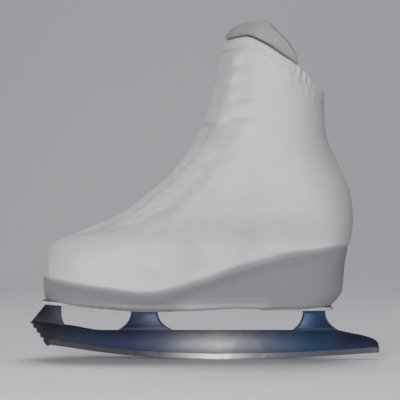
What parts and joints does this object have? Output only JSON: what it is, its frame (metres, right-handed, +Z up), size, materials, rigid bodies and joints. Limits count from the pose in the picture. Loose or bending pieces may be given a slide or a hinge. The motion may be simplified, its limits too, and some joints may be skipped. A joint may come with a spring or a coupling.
{
  "type": "figure skate with boot cover",
  "caption": "Ankle-high laced figure skate boot in a pulled-on stretch-fabric cover, on a toothed steel blade",
  "frame": {"origin": "on the ice, under the middle of the blade's length and thickness", "axes": "+X towards the heel, -X towards the toe pick; -Y the outer side of the foot, +Y the inner side; +Z up from the ice"},
  "size_m": [0.2908, 0.0914, 0.2792],
  "materials": {
    "blade_chrome": "polished nickel-chrome plating, the band along the running edge ground bright",
    "screw_steel": "satin stainless steel",
    "shank_steel": "plain spring steel",
    "lace_hardware": "bright nickel plating",
    "sole_leather": "stacked sole leather, sealed",
    "heel_rubber": "matt rubber",
    "fibre_board": "pressed fibre board",
    "footbed_foam": "fabric-topped foam",
    "boot_leather": "white full-grain leather, soft sheen",
    "boot_lining": "brushed microfibre over foam",
    "lace_cotton": "waxed cotton braid",
    "cover_fabric": "white stretch knit, fine rib, soft sheen",
    "cover_hem": "the same knit rolled over elastic"
  },
  "bodies": {
    "root": {"blade_runner": "blade_chrome", "toe_stanchion": "blade_chrome", "middle_stanchion": "blade_chrome", "heel_stanchion": "blade_chrome", "sole_plate": "blade_chrome", "heel_plate": "blade_chrome", "sole_screw_1": "screw_steel", "sole_screw_2": "screw_steel", "sole_screw_3": "screw_steel", "sole_screw_4": "screw_steel", "sole_screw_5": "screw_steel", "sole_screw_6": "screw_steel", "heel_screw_1": "screw_steel", "heel_screw_2": "screw_steel", "heel_screw_3": "screw_steel", "heel_screw_4": "screw_steel", "shank": "shank_steel", "eyelet_outer_1": "lace_hardware", "eyelet_inner_1": "lace_hardware", "eyelet_outer_2": "lace_hardware", "eyelet_inner_2": "lace_hardware", "eyelet_outer_3": "lace_hardware", "eyelet_inner_3": "lace_hardware", "eyelet_outer_4": "lace_hardware", "eyelet_inner_4": "lace_hardware", "eyelet_outer_5": "lace_hardware", "eyelet_inner_5": "lace_hardware", "hook_outer_1": "lace_hardware", "hook_inner_1": "lace_hardware", "hook_outer_2": "lace_hardware", "hook_inner_2": "lace_hardware", "hook_outer_3": "lace_hardware", "hook_inner_3": "lace_hardware", "hook_outer_4": "lace_hardware", "hook_inner_4": "lace_hardware", "outsole": "sole_leather", "heel_block": "sole_leather", "heel_top_lift": "heel_rubber", "insole_board": "fibre_board", "toe_puff": "fibre_board", "heel_counter": "fibre_board", "footbed": "footbed_foam", "vamp": "boot_leather", "backstay": "boot_leather", "quarter_outer": "boot_leather", "quarter_inner": "boot_leather", "tongue": "boot_leather", "lining_vamp": "boot_lining", "lining_outer": "boot_lining", "lining_inner": "boot_lining", "tongue_pad": "boot_lining", "collar_pad": "boot_lining", "lace": "lace_cotton", "lace_knot": "lace_cotton", "cover_outer_panel": "cover_fabric", "cover_inner_panel": "cover_fabric", "cover_top_hem": "cover_hem", "cover_sole_hem": "cover_hem", "cover_heel_hem": "cover_hem"}
  },
  "joints": []
}
